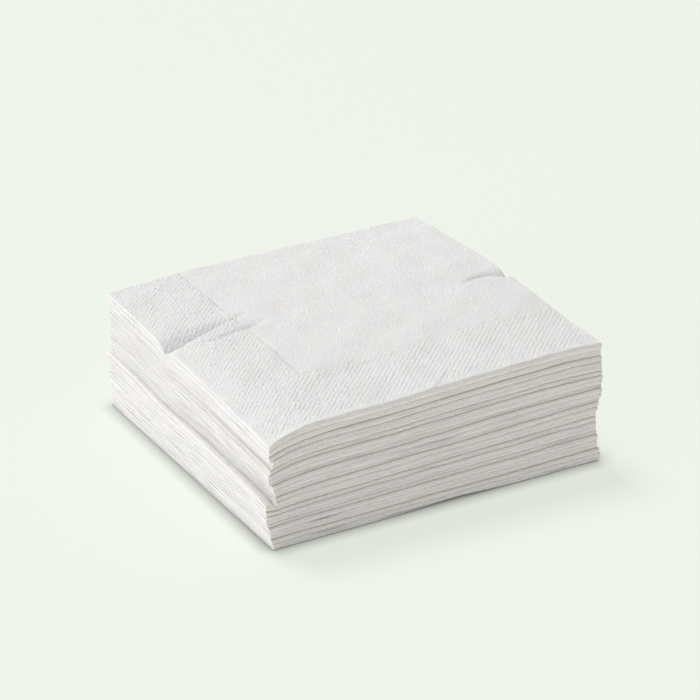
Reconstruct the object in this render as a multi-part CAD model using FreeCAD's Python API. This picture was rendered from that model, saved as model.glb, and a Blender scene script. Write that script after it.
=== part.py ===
import FreeCAD, Part

import math
import os

# A stack of folded paper napkins, in millimetres, +Z up.
# Each napkin is one square tissue sheet, folded in half about its right side and then about its front.
# So it has four leaves, one fold round the front, two folds along the right side,
# and four cut edges on the left and on the back.
# x runs from the left cut edges to the right folds, y from the front folds to the back cut edges.

# One napkin, folded
folded_width = 125.0      # left cut edges to right folds, half of the open sheet
folded_depth = 122.5      # front fold to back cut edges, half of the open sheet
leaf_parting = 0.16       # how far two leaves stand apart at their cut edges
front_fold_flats = 6      # flats round the fold along the front
side_fold_flats = 4       # flats round each small fold on the right

# The stack
napkin_count = 25
lower_count = 11          # napkins in the lower of the two bundles
crest_height = 47.2       # floor to the highest part of the top napkin
springy_share = 0.13      # share of the height that the springier napkins on top add
napkin_clearance = 0.08   # air between two napkins
bundle_clearance = 0.40   # more air between the two bundles

# How the napkins stand, as shifts along x and y
lower_start = 0.4         # the lowest napkin, to the right
lower_lean = 2.5          # how far the lower bundle leans to the left
upper_start = 0.9         # the upper bundle's lowest napkin, to the right
upper_lean = 1.7          # how far the upper bundle leans to the left
width_jitter = 0.35       # how unevenly the napkins are stacked along x
depth_jitter = 0.50       # how unevenly the napkins are stacked along y

# The top napkin's surface, as drops below its crest
left_edge_drop = 5.0
left_shoulder_drop = 3.0
left_shoulder = 20.0      # left cut edge to the left shoulder
right_edge_drop = 0.4
right_shoulder = 17.0     # right folds to the right shoulder
front_drop = 3.4
back_drop = 0.6
crest_depth = 60.0        # front fold to the crest

# The dents where a band has pressed the sides of the top napkins
left_dent_drop = 3.0
left_dent_place = 73.0    # front fold to the dent on the left
right_dent_drop = 1.9
right_dent_place = 60.0   # front fold to the dent on the right
dent_reach = 13.0         # half of a dent's length along its side
dent_margin = 4.0         # how far in from its side a dent is at its full depth
dented_count = 7          # napkins that the dents reach down through


def ramp(distance, reach):
    """Falls evenly from 1 at no distance to 0 at the reach."""
    return min(1.0, max(0.0, 1.0 - distance / reach))


def along(value, places):
    """Follows straight lines through (place, drop) pairs, and carries on the end ones."""
    for (start, first), (end, last) in zip(places, places[1:]):
        if value <= end or end == places[-1][0]:
            return first + (last - first) * (value - start) / (end - start)


def crest(napkins):
    """Height of the crest over this many napkins, evenly pressed low down and springier on top."""
    share = napkins / napkin_count
    return crest_height * ((1.0 - springy_share) * share + springy_share * share**4)


def loft(number):
    """Thickness of a napkin at its crest."""
    return crest(number) - crest(number - 1)


def drop_across(x):
    left = (0.0, left_edge_drop)
    shoulder = (left_shoulder, left_shoulder_drop)
    right = (folded_width - right_shoulder, 0.0)
    return along(x, [left, shoulder, right, (folded_width, right_edge_drop)])


def drop_in_depth(y):
    return along(y, [(0.0, front_drop), (crest_depth, 0.0), (folded_depth, back_drop)])


def plain_drop(x, y):
    """The same fall to the left and the front as one even slope, for the pressed lower bundle."""
    return left_edge_drop * (1.0 - x / folded_width) + front_drop * (1.0 - y / folded_depth)


def dent(x, y):
    """How deep the two dents are in the top napkin."""
    beside_left = ramp(abs(y - left_dent_place), dent_reach)
    beside_right = ramp(abs(y - right_dent_place), dent_reach)
    from_left = ramp(x - dent_margin, left_shoulder - dent_margin)
    from_right = ramp(folded_width - dent_margin - x, right_shoulder - dent_margin)
    return left_dent_drop * beside_left * from_left + right_dent_drop * beside_right * from_right


def surface(x, y, napkins):
    """Height of the surface between two napkins, which has this many napkins under it."""
    fall = (napkins / napkin_count) ** 2
    if napkins <= lower_count:
        return crest(napkins) - fall * plain_drop(x, y)
    pressed = ramp(napkin_count - napkins, dented_count)
    return crest(napkins) - fall * (drop_across(x) + drop_in_depth(y)) - pressed * dent(x, y)


def shift(number):
    """How far a napkin is stacked off its nominal place, along x and y."""
    if number > lower_count:
        start, lean = upper_start, upper_lean
        place, size = number - lower_count, napkin_count - lower_count
    else:
        start, lean = lower_start, lower_lean
        place, size = number, lower_count
    along_x = start - lean * (place - 1) / max(size - 1, 1)
    return along_x + width_jitter * math.sin(2.6 * number), depth_jitter * math.sin(1.9 * number)


class Napkin:
    """One folded sheet: a skin on each face of the paper, closed along its cut edges."""

    def __init__(self, number):
        self.number = number
        along_x, along_y = shift(number)
        self.left = along_x
        self.right_crease = folded_width + along_x - loft(number) / 4.0
        self.front_crease = along_y + loft(number) / 2.0
        self.back = folded_depth + along_y
        self.bent = number > lower_count
        self.dented = number > napkin_count - dented_count

    def limits(self, x, y):
        """Heights of the napkin's underside and top."""
        under = surface(x, y, self.number - 1)
        over = surface(x, y, self.number)
        if self.number > 1:
            under += napkin_clearance / 2.0
        if self.number < napkin_count:
            over -= napkin_clearance / 2.0
        if self.number == lower_count + 1:
            under += bundle_clearance / 2.0
        if self.number == lower_count:
            over -= bundle_clearance / 2.0
        return under, over

    def half(self, x, y):
        """Half of the napkin's thickness, which is two leaves."""
        under, over = self.limits(x, y)
        return (over - under) / 2.0

    def point(self, x, run, away):
        """A point at a distance from the middle surface, about which the front fold turns.

        A run is (y, turn): the turn is 0 in the upper leaves and 180 in the lower ones.
        """
        y, turn = run
        under, over = self.limits(x, y)
        angle = math.radians(turn)
        height = (under + over) / 2.0 + away * math.cos(angle)
        return FreeCAD.Vector(x, y - away * math.sin(angle), height)

    def runs(self):
        """The stations along the paper: the upper leaves, round the front fold, the lower leaves."""
        breaks = {crest_depth} if self.bent else set()
        if self.dented:
            for place in (left_dent_place, right_dent_place):
                breaks |= {place - dent_reach, place, place + dent_reach}
        between = sorted(y for y in breaks if self.front_crease < y < self.back)
        flat_runs = [self.front_crease] + between + [self.back]
        turns = [180.0 * n / front_fold_flats for n in range(1, front_fold_flats)]
        upper = [(y, 0.0) for y in reversed(flat_runs)]
        lower = [(y, 180.0) for y in flat_runs]
        return upper + [(self.front_crease, turn) for turn in turns] + lower

    def stations(self):
        """The stations across a leaf, from the left cut edge to the right crease."""
        breaks = []
        if self.bent:
            breaks += [left_shoulder, folded_width - right_shoulder]
        if self.dented:
            breaks += [dent_margin, folded_width - dent_margin]
        return [self.left] + sorted(breaks) + [self.right_crease]

    def depth_gap(self, y):
        """Half of the gap between the two folded halves, none at the front crease."""
        return leaf_parting / 2.0 * (y - self.front_crease) / (self.back - self.front_crease)

    def width_gap(self, x):
        """Half of the gap between the two leaves of a half, none at the right crease."""
        return leaf_parting / 2.0 * (self.right_crease - x) / (self.right_crease - self.left)

    def outer_row(self, run):
        """The paper's outer face: over one leaf, round the side fold, and back under the next."""
        stations = self.stations()
        near = self.depth_gap(run[0])
        radius = (self.half(self.right_crease, run[0]) - near) / 2.0
        row = [self.point(x, run, self.half(x, run[0])) for x in stations]
        for n in range(1, side_fold_flats):
            angle = math.radians(180.0 * n / side_fold_flats)
            base = self.point(self.right_crease, run, near + radius * (1.0 + math.cos(angle)))
            row.append(base + FreeCAD.Vector(radius * math.sin(angle), 0.0, 0.0))
        return row + [self.point(x, run, near) for x in reversed(stations)]

    def inner_row(self, run):
        """The paper's inner face, inside the side fold, whose two leaves part from the crease."""
        above, below = [], []
        for x in self.stations():
            middle = (self.half(x, run[0]) + self.depth_gap(run[0])) / 2.0
            above.append(self.point(x, run, middle + self.width_gap(x)))
            below.append(self.point(x, run, middle - self.width_gap(x)))
        return above + below[-2::-1]

    def solid(self):
        outer = [self.outer_row(run) for run in self.runs()]
        inner = [self.inner_row(run) for run in self.runs()]
        faces = skin(outer) + skin(inner)
        for end in (0, -1):
            back_edge = outer[end] + inner[end][::-1]
            left_edge = [row[end] for row in outer] + [row[end] for row in reversed(inner)]
            faces += [flat(back_edge), flat(left_edge)]
        shell = Part.makeShell(faces)
        shell.sewShape()
        solid = Part.makeSolid(shell)
        if solid.Volume < 0.0:
            solid.reverse()
        return solid


def distinct(corners):
    """The corners of a closed outline, without those that fall together at a crease."""
    return [c for n, c in enumerate(corners) if c.distanceToPoint(corners[n - 1]) > 1e-6]


def flat(corners):
    corners = distinct(corners)
    return Part.Face(Part.makePolygon(corners + corners[:1]))


def patch(corners):
    """One flat face, or two that meet in a ridge across the higher diagonal of a dented cell."""
    corners = distinct(corners)
    if len(corners) < 3:
        return []
    if len(corners) == 3:
        return [flat(corners)]
    a, b, c, d = corners
    if abs((b - a).cross(c - a).normalize().dot(d - a)) < 1e-7:
        return [flat(corners)]
    if a.z + c.z > b.z + d.z:
        return [flat([a, b, c]), flat([a, c, d])]
    return [flat([b, c, d]), flat([b, d, a])]


def skin(rows):
    """The faces between rows of points."""
    faces = []
    for row, after in zip(rows, rows[1:]):
        for n in range(len(row) - 1):
            faces += patch([row[n], row[n + 1], after[n + 1], after[n]])
    return faces


def build():
    napkins = [Napkin(number).solid() for number in range(1, napkin_count + 1)]
    box = Part.makeCompound(napkins).BoundBox
    os.makedirs("parts", exist_ok=True)
    for number, napkin in enumerate(napkins, 1):
        napkin.translate(FreeCAD.Vector(-box.Center.x, -box.Center.y, 0.0))
        napkin.exportStep(f"parts/napkin_{number:02d}.step")


build()
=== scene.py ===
import math

import bmesh
import bpy
import numpy as np
from mathutils import Matrix, Vector


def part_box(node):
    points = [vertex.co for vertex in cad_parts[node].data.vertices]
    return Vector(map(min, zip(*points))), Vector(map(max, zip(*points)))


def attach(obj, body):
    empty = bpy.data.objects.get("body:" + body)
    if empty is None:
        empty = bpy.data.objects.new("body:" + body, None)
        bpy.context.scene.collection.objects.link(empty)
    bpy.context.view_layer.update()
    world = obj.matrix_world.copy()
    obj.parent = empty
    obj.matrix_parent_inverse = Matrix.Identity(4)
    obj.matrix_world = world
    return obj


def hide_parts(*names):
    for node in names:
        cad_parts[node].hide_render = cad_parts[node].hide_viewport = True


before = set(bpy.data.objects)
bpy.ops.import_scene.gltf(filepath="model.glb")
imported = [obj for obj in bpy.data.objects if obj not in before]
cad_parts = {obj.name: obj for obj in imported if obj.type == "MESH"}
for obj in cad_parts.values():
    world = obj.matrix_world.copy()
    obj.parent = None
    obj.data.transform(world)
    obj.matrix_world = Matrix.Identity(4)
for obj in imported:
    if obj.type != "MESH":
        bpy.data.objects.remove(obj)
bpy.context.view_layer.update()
mm = 0.001
napkinNames = sorted(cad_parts)
napkinCount = len(napkinNames)

# Inside this script lengths are millimetres, measured from the near corner of the lowest napkin.
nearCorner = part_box(napkinNames[0])[0] / mm
print("stack: frame loaded with", napkinCount, "napkins")


# The pile's bundles, and its heights as read off its edges: (place along the edge, height)
pile = {
    "width": 125.0,
    "depth": 122.5,
    "lowerCount": 11,         # napkins in the lower bundle
    "topFront": [(0, 38.3), (6, 40.5), (13, 41.8), (22, 42.4), (45, 42.6), (60, 43.4), (85, 44.4),
                 (112, 45.0), (125, 44.2)],
    "topBack": [(0, 43.4), (10, 44.0), (25, 44.8), (38, 45.4), (60, 45.7), (90, 46.0), (125, 46.3)],
    "topLeft": [(0, 38.3), (20, 39.3), (43, 40.7), (60, 41.2), (86, 42.0), (104, 43.0), (122.5, 43.4)],
    "topRight": [(0, 44.2), (17, 45.0), (32, 45.9), (47, 47.0), (60, 47.5), (72, 47.9), (90, 47.8),
                 (107, 47.2), (122.5, 46.3)],
    "topSoften": 5.0,         # how widely those lines are rounded
    "crown": 0.6,             # how far the middle stands above what the edges give
    # under the upper bundle, where the lower one is pressed
    "partingFront": [(0, 15.7), (10, 16.5), (40, 17.3), (125, 19.2)],
    "partingLeft": [(0, 15.7), (6, 16.7), (22, 17.2), (34, 17.5), (46, 18.2), (60, 18.0), (73, 17.7),
                    (84, 18.4), (100, 19.6), (122.5, 20.2)],
    "partingBack": 19.8,      # at the far corner
    "partingSoften": 3.0,
    "lowerThicks": [1.5, 1.3, 1.4, 1.9, 1.4, 1.6, 1.3, 1.7, 1.4, 1.5, 1.7],          # from the bottom
    "upperThicks": [1.7, 1.8, 1.6, 2.0, 1.7, 1.5, 2.0, 1.6, 1.8, 2.1, 1.6, 2.0, 2.6, 2.7],
    "air": 0.02,              # between two napkins where they lie close
    "partingAir": 0.06,       # and how much more between the bundles
    "springUp": 1.25,         # how far the lower bundle's free left edge springs up
    "springFrom": 2.0,        # where that starts
    "springRun": 4.5,
    "springMost": 1.2,        # limit of the run, past the edge
    "springCurve": 1.5,
    "footEdges": (-1.0, 125.5, -0.5, 122.5),      # of the lowest napkin: left, right, front, back
    "edgeLift": 0.45,         # how far its edges stand off the table
    "edgeReach": 2.2,
    "buckle": 2.0,            # and how much more in the middle of the front
    "buckleAt": 67.0,
    "buckleReach": 15.0,
}

# How wavy the surfaces between napkins are
waviness = {
    "pitches": (0.6, 1.7),    # shortest and longest wave, against the size asked for
    "height": 0.15,
    "size": 34.0,
    "rippleSize": 9.0,
    "rippleShare": 0.35,
    "lowerShare": 0.6,        # the pressed lower bundle is flatter,
    "calmLevels": 3.0,        # and flatter still in its lowest napkins
    "underTopCalm": 0.5,      # the upper one gets flatter towards the top,
    "topHeight": 0.15,        # where the last surface has waves of its own
    "topSize": 21.0,
    "topRippleShare": 0.3,
    "peelSize": 4.2,          # fine unevenness of the top sheet
    "peelWaves": 24,
    "peelShare": 0.16,
}

# Where the pile's corners stand at each height, which is how its napkins have slid: (height, place)
lean = {
    "nearLeft": [(0.5, -0.4), (5, -1.1), (8, -2.1), (11, -2.7), (16.4, -2.7)],
    "farLeft": [(0.5, -0.2), (7, -0.4), (11, -0.8), (19, -0.9)],
    "right": [(0.5, 125.2), (3, 125.1), (5, 124.4), (8, 123.8), (11, 123.3), (18, 123.1)],
    "nearLeftUpper": [(16.5, 0.8), (20, 0.6), (21, 0.3), (22.5, -0.4), (24.5, -1.3), (27, -1.8), (29.5, 0.1),
                      (31, 0.2), (32.5, -1.3), (35.5, -1.3), (38, -1.0)],
    "farLeftUpper": [(21, 0.0), (24.5, 0.4), (28, 0.2), (32, 0.0), (37, 0.3), (41, 0.2), (43, 0.0)],
    "rightUpper": [(20, 123.3), (22, 124.2), (24.5, 125.1), (31, 125.0), (35, 124.9), (40, 124.4), (44, 124.3)],
    "uneven": 0.28,
    "steadier": 0.6,          # share of it at the far left and on the right
}
# where a napkin's height is looked up for each of these
cornerSpots = {"nearLeft": (0.0, 0.0), "farLeft": (0.0, 122.0), "right": (124.0, 0.0)}

# The dents, each with a wide far side and a steep near side. The mouth widens the near side at the start
# and closes over mouthRun of the length. The start has edgeShare of the depth.
leftDent = {"start": (-0.6, 75.3), "heading": 4.5, "length": 32.0, "depth": 5.1, "farWidth": 13.0,
            "farPower": 3.4, "nearWidth": 0.7, "mouth": 5.0, "mouthRun": 0.82, "lip": 0.2, "edgeShare": 0.56}
leftPleat = {"start": (30.5, 69.4), "heading": 185.0, "length": 19.0, "depth": 1.7, "farWidth": 5.5,
             "farPower": 3.0, "nearWidth": 1.4, "mouth": 0.0, "mouthRun": 1.0, "lip": 0.15, "edgeShare": 1.0}
rightDent = {"start": (126.0, 58.0), "heading": 178.0, "length": 20.0, "depth": 4.1, "farWidth": 10.0,
             "farPower": 4.4, "nearWidth": 1.1, "mouth": 3.6, "mouthRun": 0.5, "lip": 0.3, "edgeShare": 0.85,
             "bow": 2.4}
# raised, not sunk
frontPucker = {"start": (60.5, 1.4), "heading": 41.0, "length": 12.0, "depth": -0.36, "farWidth": 3.2,
               "farPower": 1.6, "nearWidth": 1.5, "mouth": 0.0, "mouthRun": 1.0, "lip": 0.0, "edgeShare": 1.0}
crease = {
    "napkins": 8.0,           # how many napkins from the top the two dents press down
    "softPerNapkin": 0.9,     # how much wider they get with each napkin above
    "edgeReach": 5.0,         # how far in from its start a dent has its full depth
    "runOut": 6.0,            # how far it goes on before its start
    "fadePower": 0.55,
    "narrowing": 0.6,         # of the far side, over the length
    "nearPower": 1.5,
    "lipAway": 1.2,           # where its raised lip lies past the near side
    "lipWidth": 2.2,
}
# soft hollows in the top, and low swellings as negative depths: (x, y, reach, depth)
hollows = [(46, 114, 7, 0.60), (83, 104, 9, 0.75), (67, 113, 5, 0.30), (45, 20, 6, 0.40), (76, 17, 5, 0.20),
           (119, 20, 11, 0.35), (100, 42, 12, -0.30), (57, 11, 7, -0.22), (31, 60, 9, -0.2)]

# Where the seeded unevenness of each kind starts
seeds = {"level": 100, "ripple": 200, "top": 41, "peel": 43, "napkin": 50, "paper": 1000, "strand": 77,
         "dots": 9}


def ripples(seed, size, waves=14):
    # smooth seeded unevenness of about -1 to 1, over places in mm
    rng = np.random.default_rng(seed)
    turns = rng.uniform(0, 2 * math.pi, waves)
    phases = rng.uniform(0, 2 * math.pi, waves)
    pitches = size * rng.uniform(*waviness["pitches"], waves)

    def at(x, y=0.0):
        total = 0.0
        for turn, phase, pitch in zip(turns, phases, pitches):
            total = total + np.sin(2 * math.pi * (x * math.cos(turn) + y * math.sin(turn)) / pitch + phase)
        return total / math.sqrt(waves)
    return at


def smoothLine(value, points, soften):
    # straight lines between the points, carried on at both ends and rounded by averaging nine places
    xs = [p[0] for p in points]
    zs = [p[1] for p in points]
    first = (zs[1] - zs[0]) / (xs[1] - xs[0])
    last = (zs[-1] - zs[-2]) / (xs[-1] - xs[-2])
    reach = 4 * soften
    xs = [xs[0] - reach] + xs + [xs[-1] + reach]
    zs = [zs[0] - first * reach] + zs + [zs[-1] + last * reach]
    spread = np.linspace(-soften, soften, 9)
    weights = 1 + np.cos(np.pi * spread / (soften * 1.25))
    return sum(w * np.interp(value + d, xs, zs) for w, d in zip(weights, spread)) / weights.sum()


def creaseDepth(x, y, dent, soft=0.0):
    # how deep a sharp-bottomed dent is, which runs in from its start
    heading = math.radians(dent["heading"])
    away = (x - dent["start"][0]) * math.cos(heading) + (y - dent["start"][1]) * math.sin(heading)
    side = 1.0 if math.cos(heading) > 0 else -1.0
    across = side * ((y - dent["start"][1]) * math.cos(heading) - (x - dent["start"][0]) * math.sin(heading))
    run = np.clip(away / dent["length"], 0, 1)
    across = across - dent.get("bow", 0.0) * np.sin(math.pi * run)
    inward = 1 - np.exp(-np.clip(away, 0, None) / crease["edgeReach"])
    strength = ((1 - run) ** crease["fadePower"] * np.clip(1 + away / crease["runOut"], 0, 1)
                * (dent["edgeShare"] + (1 - dent["edgeShare"]) * inward))
    far = dent["farWidth"] * (1 - crease["narrowing"] * run) + soft
    near = dent["nearWidth"] + dent["mouth"] * (1 - np.clip(run / dent["mouthRun"], 0, 1)) + soft
    lip = dent["lip"] * strength * np.exp(-((across + near + crease["lipAway"]) / crease["lipWidth"]) ** 2)
    farSide = (1 - np.clip(across / far, 0, 1)) ** dent["farPower"]
    nearSide = (1 - np.clip(-across / near, 0, 1)) ** crease["nearPower"]
    return dent["depth"] * strength * np.where(across > 0, farSide, nearSide) - lip


def topPlain(x, y):
    # the top surface from its four edges, without the dents
    s, t = x / pile["width"], y / pile["depth"]
    front, back = (smoothLine(x, pile[edge], pile["topSoften"]) for edge in ("topFront", "topBack"))
    left, right = (smoothLine(y, pile[edge], pile["topSoften"]) for edge in ("topLeft", "topRight"))
    corners = ((1 - s) * (1 - t) * pile["topFront"][0][1] + s * (1 - t) * pile["topFront"][-1][1]
               + (1 - s) * t * pile["topBack"][0][1] + s * t * pile["topBack"][-1][1])
    crown = pile["crown"] * np.sin(math.pi * np.clip(s, 0, 1)) * np.sin(math.pi * np.clip(t, 0, 1))
    return (1 - t) * front + t * back + (1 - s) * left + s * right - corners + crown


def parting(x, y):
    # the surface between the bundles
    s, t = x / pile["width"], y / pile["depth"]
    front = smoothLine(x, pile["partingFront"], pile["partingSoften"])
    left = smoothLine(y, pile["partingLeft"], pile["partingSoften"])
    near, far = pile["partingFront"][0][1], pile["partingLeft"][-1][1]
    return left + (front - near) * (1 - t) + (pile["partingBack"] - far) * t * s


def levelShares(thicks):
    return np.concatenate([[0.0], np.cumsum(thicks) / np.sum(thicks)])


lowerShares = levelShares(pile["lowerThicks"])
upperShares = levelShares(pile["upperThicks"])
levelWaves = [ripples(seeds["level"] + level, waviness["size"]) for level in range(napkinCount + 1)]
levelRipples = [ripples(seeds["ripple"] + level, waviness["rippleSize"]) for level in range(napkinCount + 1)]
topWaves = ripples(seeds["top"], waviness["topSize"])
topPeel = ripples(seeds["peel"], waviness["peelSize"], waviness["peelWaves"])


def footHeight(x, y):
    # the underside of the pile, which lifts a little at its edges
    left, right, front, back = pile["footEdges"]
    inward = np.minimum(np.minimum(x - left, right - x), np.minimum(y - front, back - y))
    buckle = 1 + pile["buckle"] * np.exp(-((x - pile["buckleAt"]) / pile["buckleReach"]) ** 2)
    return pile["edgeLift"] * buckle * np.exp(-(np.clip(inward, 0, None) / pile["edgeReach"]) ** 2)


def levelHeight(level, x, y):
    # height of the surface that has this many napkins under it
    if level == 0:
        return footHeight(x, y)
    small = levelRipples[level](x, y)
    wave = waviness["height"] * (levelWaves[level](x, y) + waviness["rippleShare"] * small)
    low = parting(x, y)
    if level <= pile["lowerCount"]:
        share = lowerShares[level]
        run = np.clip((pile["springFrom"] - x) / pile["springRun"], 0, pile["springMost"])
        free = pile["springUp"] * run ** pile["springCurve"] * share ** 3      # mostly the uppermost napkins
        calm = min(1.0, level / waviness["calmLevels"]) * waviness["lowerShare"]
        return low * share + free + wave * calm
    share = upperShares[level - pile["lowerCount"]]
    under = napkinCount - level
    pressed = max(0.0, 1 - under / crease["napkins"])
    soft = crease["softPerNapkin"] * under
    dents = creaseDepth(x, y, leftDent, soft) + creaseDepth(x, y, rightDent, soft)
    calm = 1 - waviness["underTopCalm"] * share
    if level == napkinCount:
        dents = dents + creaseDepth(x, y, leftPleat) + creaseDepth(x, y, frontPucker)
        dents = dents + sum(deep * np.exp(-((x - hx) ** 2 + (y - hy) ** 2) / reach ** 2)
                            for hx, hy, reach, deep in hollows)
        wave = waviness["topHeight"] * (topWaves(x, y) + waviness["topRippleShare"] * small
                                        + waviness["peelShare"] * topPeel(x, y))
        calm = 1.0
    return low + (topPlain(x, y) - low) * share - pressed * dents + wave * calm


# How one napkin is folded and how its paper lies
fold = {
    "acrossCells": 120,       # cells along each edge of a leaf
    "looseCells": 4,          # edge cells to one inner cell, where the leaf is hidden
    "closeCells": 2,          # and where the dents press it
    "closeFrom": 17,          # the dents press the napkins after this one
    "frontSteps": 10,
    "sideSteps": 6,
    "frontShare": 0.55,       # how far a napkin's front follows its solid's
    "frontMean": 0.10,
    "backPast": 0.4,          # how far its back edge goes past its solid's
    "noseReach": 0.46,        # how far a fold stands out, against half its height
    "noseFirmness": (0.9, 1.15),
    "noseUneven": 0.10,
    "noseFlare": 1.1,         # more of it at the loose end
    "flareReach": 2.5,
    "squareness": 0.74,       # under 1 flattens the front of a fold
    "strandDepth": 0.022,     # faint creases along a fold's front
    "strandSize": 0.62,
    "strandStretch": 0.035,   # their height against their length
    "leafGap": 0.07,
    "gapUneven": 0.5,
    "leafSplay": 0.05,        # how unevenly the leaves share the napkin's height at the cut edges
    "splayReach": 7,
    "edgeBulge": 0.06,        # how rounded a cut edge is
    "edgeWander": 0.06,       # how unevenly the leaves' cut edges lie
    "innerInset": 0.10,       # how much further in the inner leaves' left edges lie
    "backInset": 0.15,
    "foldWander": 0.06,
    "sharpAngle": 60,         # degrees past which an edge is drawn sharp
}

# How long the waves in each edge, gap and fold of a napkin are. A sheet's edge takes the waves
# on one line through them, which the second list names.
wanderSizes = {"outerLeft": 26.0, "innerLeft": 22.0, "upperBack": 24.0, "lowerBack": 24.0, "side": 30.0,
               "front": 30.0, "splay1": 24.0, "splay2": 24.0, "splay3": 24.0, "gap": 20.0, "reach": 26.0}
wanderLines = {"left": 3.0, "back": 5.0, "side": 7.0, "front": 9.0, "reach": 4.0}

# How much painted shade each part of the paper takes for lying deep in a groove, from 0 to 1, and how fast that
# fades round a fold: the hidden faces, the lower bundle's top where it shows under the upper one's edge, and
# the rows where leaves meet on a cut edge
grooveShading = {"hidden": 0.8, "laidOpen": 0.25, "cutSides": 0.7, "foldPower": 3}

emboss = {
    "fine": 3,                # dot cells to one edge cell
    "leftBand": 78,           # width of the dotted band on the left, in dot cells
    "frontBand": 84,
    "fade": 8.0,              # dot cells over which the dots fade out at the left and front edges
    "pitDepth": 0.42,
    "pitRadius": 0.30,
    "uneven": 0.45,           # how much one pit differs from the next
    "rimDepth": 1.0,          # share of the depth for the filled-in dots along the bands' inner rim
    "ridge": 0.007,
    "ridgeLevel": 0.4,        # where between its low and high line a ridge has the paper's height
    "leftRidge": 0.4,         # share of a ridge's height in the left band
}


def rectangleSides(i0, i1, j0, j1, step):
    # grid places along the four sides of a rectangle, corner to corner
    across, up = list(range(i0, i1 + 1, step)), list(range(j0, j1 + 1, step))
    return [[(i, j0) for i in across], [(i1, j) for j in up],
            [(i, j1) for i in across[::-1]], [(i0, j) for j in up[::-1]]]


def stitch(outer, inner):
    # triangles between two rows of places that run the same way
    faces = []
    a = b = 0
    lastA, lastB = len(outer) - 1, len(inner) - 1
    while a < lastA or b < lastB:
        if b == lastB or (a < lastA and (a + 1) * lastB <= (b + 1) * lastA):
            faces.append((outer[a], outer[a + 1], inner[b]))
            a += 1
        else:
            faces.append((outer[a], inner[b + 1], inner[b]))
            b += 1
    return faces


def ringFaces(outer, inner):
    return [f for one, two in zip(rectangleSides(*outer), rectangleSides(*inner)) for f in stitch(one, two)]


def cellFaces(i0, i1, j0, j1, step):
    return [((i, j), (i + step, j), (i + step, j + step), (i, j + step))
            for i in range(i0, i1, step) for j in range(j0, j1, step)]


def numbered(faces, cells):
    # grid places as shares of the leaf, and the faces between them
    places = sorted({p for f in faces for p in f})
    index = {p: n for n, p in enumerate(places)}
    return np.array(places, float) / cells, [tuple(index[p] for p in f) for f in faces], np.array(places)


def plainLeaf(c):
    # cells of this size, with edge cells all round that every leaf shares
    n = fold["acrossCells"]
    return numbered(ringFaces((0, n, 0, n, 1), (c, n - c, c, n - c, c)) + cellFaces(c, n - c, c, n - c, c), n)


def dottedLeaf():
    # fine cells where the dots are, coarser ones in the plain field
    k, a, b = emboss["fine"], emboss["leftBand"], emboss["frontBand"]
    n = fold["acrossCells"] * k
    faces = ringFaces((0, n, 0, n, k), (1, n - 1, 1, n - 1, 1))
    faces += cellFaces(1, a, 1, n - 1, 1) + cellFaces(a, n - 1, 1, b, 1)
    faces += ringFaces((a, n - 1, b, n - 1, 1), (a + k, n - k, b + k, n - k, k))
    faces += cellFaces(a + k, n - k, b + k, n - k, k)
    return numbered(faces, n)


def embossRelief(places, pitchX, pitchY):
    # pits on a diamond lattice over the two bands, with soft ridges between their slanting rows
    k = emboss["fine"]
    i, j = places[:, 0], places[:, 1]
    n = fold["acrossCells"] * k
    left, front = emboss["leftBand"], emboss["frontBand"]
    inBand = ((i <= left) | (j <= front)) & (i > 1) & (j > 1) & (i < n) & (j < n)
    onRim = ((i == left) & (j >= front)) | ((j == front) & (i >= left))
    depth = np.zeros(len(places))
    uneven = emboss["uneven"]
    dotDepth = np.random.default_rng(seeds["dots"]).uniform(1 - uneven, 1 + uneven, (n + 3, n + 3))
    for di in (-1, 0, 1):
        for dj in (-1, 0, 1):
            u, v = np.round(i / k) + di, np.round(j / k) + dj
            filled = np.where(onRim & (di == 0) & (dj == 0), emboss["rimDepth"], 0.0)
            dot = np.where((u + v) % 2 == 0, 1.0, filled)
            away = np.hypot((i / k - u) * pitchX, (j / k - v) * pitchY)
            pit = np.exp(-(away / emboss["pitRadius"]) ** 2)
            depth += dot * dotDepth[u.astype(int), v.astype(int)] * pit
    ridge = np.where(j <= front, emboss["ridge"], emboss["leftRidge"] * emboss["ridge"])
    ridge = ridge * (np.cos(math.pi * (i - j) / k) - emboss["ridgeLevel"])
    fade = np.clip(np.minimum(i, j) / emboss["fade"], 0, 1)
    return -np.where(inBand, fade * (emboss["pitDepth"] * depth + ridge), 0.0)


mergeReach, sliverReach = 1e-6, 1e-7      # metres


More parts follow.
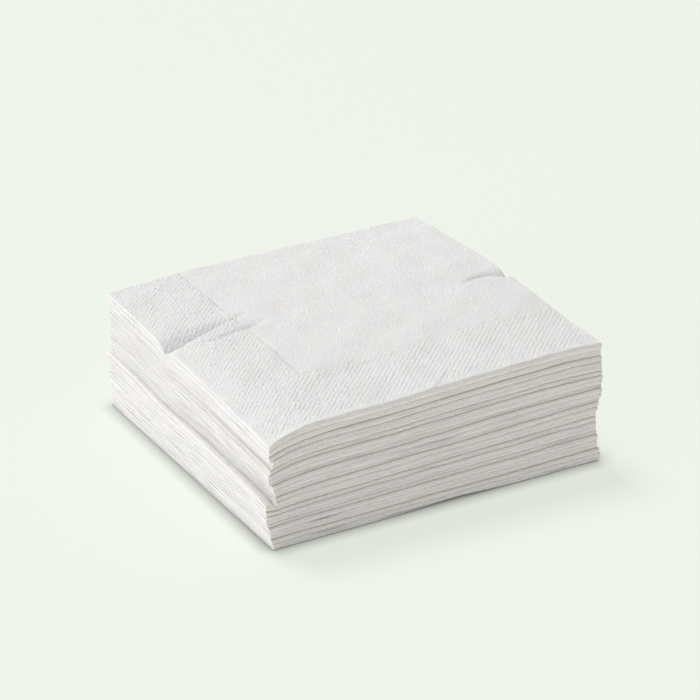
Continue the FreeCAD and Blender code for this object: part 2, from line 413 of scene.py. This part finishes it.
class meshParts:
    # points, faces and their finish, gathered for one napkin
    def __init__(self):
        self.points, self.faces, self.finish, self.grooveShade = [], [], [], []
        self.count = 0

    def add(self, points, faces, finish, grooveShade):
        self.points.append(points)
        self.faces += [tuple(v + self.count for v in f) for f in faces]
        self.finish += [finish] * len(faces)
        self.grooveShade.append(np.broadcast_to(grooveShade, len(points)))
        self.count += len(points)

    def addGrid(self, rows, finish, grooveShade):
        # rows of points, as many in each
        high, wide = rows.shape[:2]
        at = np.arange(high * wide).reshape(high, wide)
        faces = [(at[r, c], at[r, c + 1], at[r + 1, c + 1], at[r + 1, c])
                 for r in range(high - 1) for c in range(wide - 1)]
        self.add(rows.reshape(-1, 3), faces, finish, np.broadcast_to(grooveShade, (high, wide)).reshape(-1))

    def closedMesh(self, name):
        # one closed mesh of all parts, its shared rows of points merged
        points = (np.concatenate(self.points) + np.array(nearCorner) * np.array([1, 1, 0])) * mm
        mesh = bpy.data.meshes.new(name)
        mesh.from_pydata(points.tolist(), [], self.faces)
        mesh.polygons.foreach_set("material_index", self.finish)
        # each point's share of painted shade in the grooves, which the paper colour reads
        grooveShade = mesh.attributes.new("grooveShade", "FLOAT", "POINT")
        grooveShade.data.foreach_set("value", np.concatenate(self.grooveShade))
        closed = bmesh.new()
        closed.from_mesh(mesh)
        bmesh.ops.remove_doubles(closed, verts=closed.verts, dist=mergeReach)
        bmesh.ops.dissolve_degenerate(closed, edges=closed.edges, dist=sliverReach)
        bmesh.ops.recalc_face_normals(closed, faces=closed.faces)
        for face in closed.faces:
            face.smooth = True
        sharp = math.radians(fold["sharpAngle"])
        for edge in closed.edges:
            edge.smooth = len(edge.link_faces) == 2 and edge.calc_face_angle(0.0) < sharp
        closed.to_mesh(mesh)
        closed.free()
        return mesh


sheetFinish, foldFinish, cutFinish = 0, 1, 2
looseLayout, closeLayout = plainLeaf(fold["looseCells"]), plainLeaf(fold["closeCells"])
dottedLayout = dottedLeaf()
leafNames = ("a", "b", "c", "d")      # from the top: a and d are the outer layer, b and c the inner


def makeNapkin(number):
    # a closed folded sheet between two of the pile's surfaces: leaves, folds and cut edges
    name = napkinNames[number - 1]
    low, high = (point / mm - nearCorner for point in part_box(name))
    front, back = fold["frontShare"] * low[1] + fold["frontMean"], high[1] + fold["backPast"]
    isTop = number == napkinCount
    bundle = "Upper" if number > pile["lowerCount"] else ""
    rng = np.random.default_rng(seeds["napkin"] + number)
    slip = lean["uneven"] * rng.uniform(-1, 1, 3)

    def columnPlace(which):
        # where one of the pile's corners stands at this napkin's height
        x, y = cornerSpots[which]
        height = float(levelHeight(number, x, y) + levelHeight(number - 1, x, y)) / 2
        places = lean[which + bundle]
        return float(np.interp(height, [p[0] for p in places], [p[1] for p in places]))

    leftNear = columnPlace("nearLeft") + slip[0]
    leftFar = columnPlace("farLeft") + slip[1] * lean["steadier"]
    right = columnPlace("right") + slip[2] * lean["steadier"]
    left = (leftNear + leftFar) / 2
    middle = (pile["width"] / 2, pile["depth"] / 2)
    paperSeed = seeds["paper"] * number
    wander = {key: ripples(paperSeed + n, size) for n, (key, size) in enumerate(wanderSizes.items())}
    strands = ripples(paperSeed + seeds["strand"], fold["strandSize"])
    firmness = rng.uniform(*fold["noseFirmness"])

    def over(x, y):
        air = 0.0 if isTop else pile["air"] / 2
        if number == pile["lowerCount"]:
            air += pile["partingAir"] / 2
        return levelHeight(number, x, y) - air

    def under(x, y):
        air = 0.0 if number == 1 else pile["air"] / 2
        if number == pile["lowerCount"] + 1:
            air += pile["partingAir"] / 2
        return levelHeight(number - 1, x, y) + air

    sideHalf = float((over(right, middle[1]) - under(right, middle[1])) / 4)
    frontHalf = float((over(middle[0], front) - under(middle[0], front)) / 2)
    creaseX = right - fold["noseReach"] * sideHalf
    creaseY = front + fold["noseReach"] * frontHalf

    def plan(s, t, leaf):
        # where a point of a leaf lies: s from its left cut edge, t from its front crease
        upper, outer = leaf in "ab", leaf in "ad"
        q = t * pile["depth"] * (1 if upper else -1)        # along the sheet, through the front fold
        p = (1 - s) * pile["width"] * (-1 if outer else 1)  # across the sheet, through the side fold
        leftWander = wander["outerLeft" if outer else "innerLeft"](q, wanderLines["left"])
        backWander = wander["upperBack" if upper else "lowerBack"](p, wanderLines["back"])
        inset = 0.0 if outer else fold["innerInset"]
        leftAt = leftNear + (leftFar - leftNear) * t + inset + fold["edgeWander"] * leftWander
        backAt = back - fold["backInset"] - fold["edgeWander"] * backWander
        sideAt = creaseX + fold["foldWander"] * wander["side"](q, wanderLines["side"])
        frontAt = creaseY + fold["foldWander"] * wander["front"](p, wanderLines["front"])
        return sideAt + (leftAt - sideAt) * (1 - s), frontAt + (backAt - frontAt) * t

    def heights(x, y, s, t, skin):
        # skins from the top: the two faces of leaf a, of leaf b, and so on
        top, bottom = over(x, y), under(x, y)
        reach = fold["splayReach"]
        loose = np.clip(np.exp(-(x - left) / reach) + np.exp(-(back - y) / reach), 0, 1)
        splay = [fold["leafSplay"] * loose * wander[f"splay{n}"](x, y) for n in (1, 2, 3)]
        leafGap = fold["leafGap"] * (1 + fold["gapUneven"] * wander["gap"](x, y))
        gapA = leafGap * np.sqrt(np.clip(1 - s, 0, 1))
        gapB = leafGap * np.sqrt(np.clip(t, 0, 1))
        thick = top - bottom
        quarters = (0.25, 0.5, 0.75)
        first, second, third = (top - thick * (share + extra) for share, extra in zip(quarters, splay))
        return {"aTop": top, "aUnder": first + gapA / 2, "bTop": first - gapA / 2, "bUnder": second + gapB / 2,
                "cTop": second - gapB / 2, "cUnder": third + gapA / 2, "dTop": third - gapA / 2,
                "dUnder": bottom}[skin]

    def skinPoints(s, t, skin):
        s, t = np.broadcast_arrays(np.asarray(s, float), np.asarray(t, float))
        x, y = plan(s, t, skin[0])
        return np.stack([x, y, heights(x, y, s, t, skin)], axis=-1)

    def bend(start, end, steps, axis, sign):
        # a rounded fold from one row of points to another straight below it
        rows = []
        half = (start[:, 2] - end[:, 2]) / 2
        centre = (start + end) / 2
        uneven = wander["reach"](start[:, 1 - axis], wanderLines["reach"] * axis)
        nose = fold["noseReach"] * firmness * (1 + fold["noseUneven"] * uneven)
        if axis == 1:
            loose = np.exp(-np.clip(start[:, 0] - left, 0, None) / fold["flareReach"])
            nose = nose * (1 + fold["noseFlare"] * loose)
        for n in range(steps + 1):
            angle = math.pi * n / steps
            reach = math.sin(angle) ** fold["squareness"] if 0 < n < steps else 0.0
            rise = math.copysign(abs(math.cos(angle)) ** fold["squareness"], math.cos(angle))
            row = centre.copy()
            row[:, 2] = centre[:, 2] + half * rise
            strand = strands(fold["strandStretch"] * start[:, 1 - axis], row[:, 2] - centre[:, 2])
            strand = fold["strandDepth"] * strand * min(1.0, 2 * reach * reach)
            straight = start[:, axis] + (end - start)[:, axis] * n / steps
            row[:, axis] = straight + sign * (nose * half * reach + strand)
            rows.append(row)
        return np.array(rows)

    # the leaves' faces, with closer cells where they are seen or pressed
    parts = meshParts()
    closeSkins = ("aTop", "dUnder") if number > fold["closeFrom"] else ()
    if isTop:
        closeSkins = ("aUnder", "bTop", "bUnder")
    for leaf in leafNames:
        for face in ("Top", "Under"):
            skin = leaf + face
            if isTop and skin == "aTop":
                continue
            places, faces, _ = closeLayout if skin in closeSkins else looseLayout
            laidOpen = number == pile["lowerCount"] and skin == "aTop"
            grooveShade = grooveShading["laidOpen" if laidOpen else "hidden"]
            parts.add(skinPoints(places[:, 0], places[:, 1], skin), faces, sheetFinish, grooveShade)
    if isTop:
        places, faces, grid = dottedLayout
        points = skinPoints(places[:, 0], places[:, 1], "aTop")
        cells = fold["acrossCells"]
        points[:, 2] += embossRelief(grid, (right - left) / cells, (back - front) / cells)
        parts.add(points, faces, sheetFinish, 0.0)

    along = np.linspace(0, 1, fold["acrossCells"] + 1)
    # painted shade that grows towards the grooves above and below each fold
    frontGrooveShade, sideGrooveShade = (np.abs(np.cos(np.linspace(0, math.pi, fold[steps] + 1))) ** grooveShading["foldPower"]
                               for steps in ("frontSteps", "sideSteps"))
    if isTop:
        frontGrooveShade[: fold["frontSteps"] // 2] = 0.0
    # the two small folds on the right; the lower one is measured from below, so its half height is negative
    noses = {}
    for half, one, two, out in (("upper", "aTop", "bUnder", 1), ("lower", "dUnder", "cTop", -1)):
        noses[half] = bend(skinPoints(1.0, along, one), skinPoints(1.0, along, two), fold["sideSteps"], 0, out)
        parts.addGrid(noses[half], foldFinish, sideGrooveShade[:, None])
    # the front fold, which takes them round
    frontBends = {}
    for outer, inner in (("aTop", "dUnder"), ("aUnder", "dTop"), ("bTop", "cUnder")):
        frontBends[outer] = bend(skinPoints(along, 0.0, outer), skinPoints(along, 0.0, inner),
                                 fold["frontSteps"], 1, -1)
        parts.addGrid(frontBends[outer], foldFinish if outer == "aTop" else sheetFinish, frontGrooveShade[:, None])
    cornerBend = bend(noses["upper"][:, 0], noses["lower"][:, 0], fold["frontSteps"], 1, -1)
    parts.addGrid(cornerBend, foldFinish, np.maximum(frontGrooveShade[:, None], sideGrooveShade[None, :]))

    def cutEdge(outerRow, innerRow, axis, sign):
        # the narrow strip where the paper was cut
        middleRow = (outerRow + innerRow) / 2
        middleRow[:, axis] += sign * fold["edgeBulge"]
        # painted shade along the strip's two outer rows, where its leaves meet
        grooveShade = np.array([grooveShading["cutSides"], 0.0, grooveShading["cutSides"]])
        parts.addGrid(np.array([outerRow, middleRow, innerRow]), cutFinish, grooveShade[:, None])

    def turned(bent, column, spot, skin, steps):
        # a fold's own points between two rows, or its crease as often where the leaves lie flat in it
        if bent is None:
            return np.repeat(skinPoints([spot], [spot], skin), steps - 1, axis=0)
        return bent[1:-1, column]

    def leftRow(upperSkin, lowerSkin, bent):
        turn = turned(bent, 0, 0.0, upperSkin, fold["frontSteps"])
        return np.concatenate([skinPoints(0.0, along[::-1], upperSkin), turn,
                               skinPoints(0.0, along, lowerSkin)])

    def backRow(oneSkin, twoSkin, nose):
        turn = turned(nose, -1, 1.0, oneSkin, fold["sideSteps"])
        return np.concatenate([skinPoints(along, 1.0, oneSkin), turn, skinPoints(along[::-1], 1.0, twoSkin)])

    cutEdge(leftRow("aTop", "dUnder", frontBends["aTop"]),
            leftRow("aUnder", "dTop", frontBends["aUnder"]), 0, -1)
    cutEdge(leftRow("bTop", "cUnder", frontBends["bTop"]), leftRow("bUnder", "cTop", None), 0, -1)
    cutEdge(backRow("aTop", "bUnder", noses["upper"]), backRow("aUnder", "bTop", None), 1, 1)
    cutEdge(backRow("dUnder", "cTop", noses["lower"]), backRow("dTop", "cUnder", None), 1, 1)

    piece = bpy.data.objects.new(f"folded.{name}", parts.closedMesh(name))
    bpy.context.collection.objects.link(piece)
    return piece


def addNode(tree, kind, at=(0, 0), **values):
    node = tree.nodes.new(kind)
    node.location = at
    for key, value in values.items():
        setattr(node, key, value)
    return node


def setInputs(node, values):
    for label, value in values.items():
        node.inputs[label].default_value = value


def newGroup(name, inputs, outputs):
    # a node group with these sockets: (label, kind of value)
    tree = bpy.data.node_groups.new(name, "ShaderNodeTree")
    for way, sockets in (("INPUT", inputs), ("OUTPUT", outputs)):
        for label, kind in sockets:
            tree.interface.new_socket(label, in_out=way, socket_type=f"NodeSocket{kind}")
    return tree, addNode(tree, "NodeGroupInput", (-900, 0)), addNode(tree, "NodeGroupOutput", (500, 0))


# Settings of the paper's noises; the first two take their scale from each finish
fibreNoise = {
    "Coarse": {"Detail": 3.0, "Roughness": 0.55},
    "Fine": {"Detail": 4.0, "Roughness": 0.65},
    "Cloud": {"Detail": 3.0, "Roughness": 0.6, "Scale": 105.0},
}
fineShare = 0.6               # of the fine noise in the paper's height
# the stretch of each noise that darkens the paper, from not at all to fully
shadeRange = {"Mottle": (0.3, 0.7), "Cloud": (0.42, 0.68)}


def fibreGroup():
    # paper fibres: a soft mottle and a finer grain, stretched as each face needs
    tree, start, end = newGroup("paper fibres", (("Coarse", "Float"), ("Fine", "Float"), ("Stretch", "Vector"),
                                                 ("Turn", "Vector")),
                                (("Height", "Float"), ("Mottle", "Float"), ("Cloud", "Float")))
    place = addNode(tree, "ShaderNodeTexCoord", (-900, 300))
    mapping = addNode(tree, "ShaderNodeMapping", (-650, 200))
    tree.links.new(place.outputs["Object"], mapping.inputs["Vector"])
    tree.links.new(start.outputs["Stretch"], mapping.inputs["Scale"])
    tree.links.new(start.outputs["Turn"], mapping.inputs["Rotation"])
    noises = {}
    for row, (label, values) in enumerate(fibreNoise.items()):
        noises[label] = addNode(tree, "ShaderNodeTexNoise", (-400, 200 - 300 * row))
        setInputs(noises[label], values)
        where = place.outputs["Object"] if label == "Cloud" else mapping.outputs["Vector"]
        tree.links.new(where, noises[label].inputs["Vector"])
        if label != "Cloud":
            tree.links.new(start.outputs[label], noises[label].inputs["Scale"])
    blend = addNode(tree, "ShaderNodeMath", (0, 0), operation="MULTIPLY_ADD")
    blend.inputs[1].default_value = fineShare
    tree.links.new(noises["Fine"].outputs["Fac"], blend.inputs[0])
    tree.links.new(noises["Coarse"].outputs["Fac"], blend.inputs[2])
    tree.links.new(blend.outputs[0], end.inputs["Height"])
    tree.links.new(noises["Coarse"].outputs["Fac"], end.inputs["Mottle"])
    tree.links.new(noises["Cloud"].outputs["Fac"], end.inputs["Cloud"])
    return tree


def colourGroup():
    # paper colour with painted shade, warmer and darker, in the grooves between folds, leaves and napkins, as
    # the points' groove shade gives it
    tree, start, end = newGroup("paper colour", (("Paper", "Color"), ("Groove shade", "Color"), ("Mottle", "Float"),
                                                 ("Mottle amount", "Float"), ("Cloud", "Float"),
                                                 ("Cloud amount", "Float")), (("Colour", "Color"),))
    # the painted groove shade, read from the points
    depth = addNode(tree, "ShaderNodeAttribute", (-900, 300), attribute_name="grooveShade")
    tint = addNode(tree, "ShaderNodeMix", (-400, 100), data_type="RGBA")
    tree.links.new(depth.outputs["Fac"], tint.inputs["Factor"])
    tree.links.new(start.outputs["Paper"], tint.inputs["A"])
    tree.links.new(start.outputs["Groove shade"], tint.inputs["B"])
    colour = tint.outputs["Result"]
    for row, (label, (low, high)) in enumerate(shadeRange.items()):
        y = -200 - 250 * row
        shade = addNode(tree, "ShaderNodeMapRange", (-400, y))
        setInputs(shade, {"From Min": low, "From Max": high, "To Min": 0.0, "To Max": 1.0})
        tree.links.new(start.outputs[label], shade.inputs["Value"])
        amount = addNode(tree, "ShaderNodeMath", (-150, y), operation="MULTIPLY")
        tree.links.new(shade.outputs["Result"], amount.inputs[0])
        tree.links.new(start.outputs[f"{label} amount"], amount.inputs[1])
        darker = addNode(tree, "ShaderNodeMix", (150, y), data_type="RGBA", blend_type="MULTIPLY")
        darker.inputs["B"].default_value = (0.0, 0.0, 0.0, 1)
        tree.links.new(amount.outputs[0], darker.inputs["Factor"])
        tree.links.new(colour, darker.inputs["A"])
        colour = darker.outputs["Result"]
    tree.links.new(colour, end.inputs["Colour"])
    return tree


# Colours of each finish, its grain (scales to the metre), the depth of its bumps in metres,
# how mottled it is, and how far light spreads inside it in metres. The groove colour is painted shade, warmer
# and darker, in the grooves; the fold and cut-edge paper is painted lighter than the face paper, painted light
# on the shaded folds and self-shaded cut edges.
paperLooks = {
    "tissue face": {"paper": (0.869, 0.869, 0.873, 1), "grooveShade": (0.875, 0.84, 0.785, 1),
                    "coarse": 1250.0, "fine": 2700.0, "stretch": (1.0, 0.6, 1.0), "turn": 45.0,
                    "bump": 1.0, "depth": 0.0006, "mottle": 0.06, "cloud": 0.03, "glow": 0.0003},
    # painted lighter and warmer than the face paper: painted light on the shaded front folds
    "tissue fold": {"paper": (0.933, 0.905, 0.868, 1), "grooveShade": (0.93, 0.85, 0.71, 1),
                    "coarse": 1700.0, "fine": 4200.0, "stretch": (0.6, 1.0, 1.0), "turn": 0.0,
                    "bump": 1.0, "depth": 0.00042, "mottle": 0.10, "cloud": 0.0, "glow": 0.0008},
    # painted lighter than the face paper: painted light on the self-shaded cut edges
    "tissue cut edge": {"paper": (0.95, 0.934, 0.934, 1), "grooveShade": (0.93, 0.905, 0.90, 1),
                        "coarse": 1900.0, "fine": 5200.0, "stretch": (0.04, 0.04, 1.0), "turn": 0.0,
                        "bump": 0.6, "depth": 0.00018, "mottle": 0.08, "cloud": 0.0, "glow": 0.0004},
}
# thin tissue is matt and lets some light through, which softens its grooves
tissue = {"Roughness": 0.92, "Specular IOR Level": 0.15, "Subsurface Weight": 0.6,
          "Subsurface Radius": (1.0, 0.88, 0.70)}


def makePaper(name, look, fibres, colouring):
    material = bpy.data.materials.new(name)
    material.use_nodes = True
    tree = material.node_tree
    shader = tree.nodes["Principled BSDF"]
    setInputs(shader, tissue)
    shader.inputs["Subsurface Scale"].default_value = look["glow"]
    grain = addNode(tree, "ShaderNodeGroup", (-800, 0), node_tree=fibres)
    setInputs(grain, {"Coarse": look["coarse"], "Fine": look["fine"], "Stretch": look["stretch"],
                      "Turn": (0, 0, math.radians(look["turn"]))})
    colour = addNode(tree, "ShaderNodeGroup", (-450, 200), node_tree=colouring)
    setInputs(colour, {"Paper": look["paper"], "Groove shade": look["grooveShade"], "Mottle amount": look["mottle"],
                       "Cloud amount": look["cloud"]})
    tree.links.new(grain.outputs["Mottle"], colour.inputs["Mottle"])
    tree.links.new(grain.outputs["Cloud"], colour.inputs["Cloud"])
    tree.links.new(colour.outputs["Colour"], shader.inputs["Base Color"])
    bump = addNode(tree, "ShaderNodeBump", (-300, -200))
    setInputs(bump, {"Strength": look["bump"], "Distance": look["depth"]})
    tree.links.new(grain.outputs["Height"], bump.inputs["Height"])
    tree.links.new(bump.outputs["Normal"], shader.inputs["Normal"])
    return material


# The view, as the photo has it: placed by the near corner of the lowest napkin
photoView = {"azimuth": -29.148, "elevation": 25.014, "roll": -0.470, "distance": 939.13,
             "aim": (62.5, 62.5, 0.0), "aside": 0.679, "up": 27.961,
             "focalPixels": 2700.0, "imagePixels": 700.0, "sensor": 36.0,
             "clip": (0.01, 20.0)}        # metres


def placeCamera():
    view = photoView
    az, el, roll = (math.radians(view[k]) for k in ("azimuth", "elevation", "roll"))
    back = Vector((math.sin(az) * math.cos(el), -math.cos(az) * math.cos(el), math.sin(el)))
    right = (-back).cross(Vector((0, 0, 1))).normalized()
    up = right.cross(-back)
    target = Vector(view["aim"]) + right * view["aside"] + up * view["up"]
    spot = (target + back * view["distance"] + Vector((nearCorner[0], nearCorner[1], 0))) * mm
    tiltedRight = right * math.cos(roll) + up * math.sin(roll)
    tiltedUp = -right * math.sin(roll) + up * math.cos(roll)
    lens = bpy.data.cameras.new("photo lens")
    lens.sensor_width = view["sensor"]
    lens.lens = view["focalPixels"] / view["imagePixels"] * view["sensor"]
    lens.clip_start, lens.clip_end = view["clip"]
    camera = bpy.data.objects.new("photo camera", lens)
    bpy.context.collection.objects.link(camera)
    turned = Matrix((tiltedRight, tiltedUp, back)).transposed()
    camera.matrix_world = Matrix.Translation(spot) @ turned.to_4x4()
    bpy.context.scene.camera = camera


# The light, with places and sizes in metres
studio = {
    "sky": (1.0, 0.99, 0.975), "skyStrength": 0.43,
    "keyFrom": (-0.10, 0.49, 0.87), "keyStrength": 1.92, "keyColour": (1.0, 0.985, 0.965), "keySoftness": 24.0,
    "boxFrom": (-1.25, -0.05, 0.42), "boxSize": (1.2, 0.7), "boxPower": 5.4,
    "floor": (0.24, 0.245, 0.235, 1), "floorReach": 6.0, "floorRoughness": 0.9, "floorShine": 0.1,
    "background": (0.855, 0.905, 0.823),      # what the camera sees of the floor
    "clearFloor": 1.03,                       # how brightly the lights fall on it in the open
    "backlight": (0.86, 0.845, 0.82, 1),      # its own light on the napkins
    # the glow dims near things as a painted contact shadow
    "contactReach": 0.006,                    # how close a thing has to be to dim that
}


def placeLights():
    world = bpy.data.worlds.new("studio")
    bpy.context.scene.world = world
    world.use_nodes = True
    setInputs(world.node_tree.nodes["Background"],
              {"Color": (*studio["sky"], 1), "Strength": studio["skyStrength"]})
    lamp = bpy.data.lights.new("window behind", "SUN")
    lamp.energy = studio["keyStrength"]
    lamp.angle = math.radians(studio["keySoftness"])
    lamp.color = studio["keyColour"]
    window = bpy.data.objects.new("window behind", lamp)
    window.rotation_euler = Vector(studio["keyFrom"]).to_track_quat("Z", "Y").to_euler()
    bpy.context.collection.objects.link(window)
    card = bpy.data.lights.new("softbox left", "AREA")
    card.shape = "RECTANGLE"
    card.size, card.size_y = studio["boxSize"]
    card.energy = studio["boxPower"]
    softbox = bpy.data.objects.new("softbox left", card)
    softbox.location = studio["boxFrom"]
    level = Vector((studio["boxFrom"][0], studio["boxFrom"][1], 0))
    softbox.rotation_euler = level.to_track_quat("Z", "Y").to_euler()
    softbox.visible_camera = False
    bpy.context.collection.objects.link(softbox)


def makeTabletop():
    plane = bpy.data.meshes.new("tabletop")
    reach = studio["floorReach"]
    corners = [(-reach, -reach, 0), (reach, -reach, 0), (reach, reach, 0), (-reach, reach, 0)]
    plane.from_pydata(corners, [], [(0, 1, 2, 3)])
    floor = bpy.data.objects.new("tabletop", plane)
    bpy.context.collection.objects.link(floor)
    paint = bpy.data.materials.new("pale tabletop")
    paint.use_nodes = True
    tree = paint.node_tree
    shader = tree.nodes["Principled BSDF"]
    setInputs(shader, {"Base Color": studio["floor"], "Roughness": studio["floorRoughness"],
                       "Specular IOR Level": studio["floorShine"]})
    # a tabletop lit from below: it glows evenly, with less glow where something stands close over it, which is
    # a painted contact shadow.
    # The camera alone sees the glow in the background's colour.
    lift = [max(0.0, want - have * studio["clearFloor"])
            for want, have in zip(studio["background"], studio["floor"])]
    path = addNode(tree, "ShaderNodeLightPath", (-900, -200))
    glow = addNode(tree, "ShaderNodeMix", (-600, -100), data_type="RGBA")
    glow.inputs["A"].default_value = studio["backlight"]
    glow.inputs["B"].default_value = (*lift, 1)
    tree.links.new(path.outputs["Is Camera Ray"], glow.inputs["Factor"])
    # painted contact shadow: the glow dims where something is close over it
    near = addNode(tree, "ShaderNodeAmbientOcclusion", (-600, -400))
    near.inputs["Distance"].default_value = studio["contactReach"]
    tree.links.new(glow.outputs["Result"], shader.inputs["Emission Color"])
    tree.links.new(near.outputs["AO"], shader.inputs["Emission Strength"])
    floor.data.materials.append(paint)


bpy.context.scene.view_settings.view_transform = "Standard"
placeCamera()
placeLights()
makeTabletop()
print("stack: camera, light and tabletop placed")

fibres, colouring = fibreGroup(), colourGroup()
papers = [makePaper(name, look, fibres, colouring) for name, look in paperLooks.items()]
print("stack: papers mixed")

total = 0
for number in range(1, napkinCount + 1):
    piece = makeNapkin(number)
    for paper in papers:
        piece.data.materials.append(paper)
    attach(piece, "root")
    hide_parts(napkinNames[number - 1])
    total += sum(len(p.vertices) - 2 for p in piece.data.polygons)
print("stack: napkins folded, triangles in all:", total)
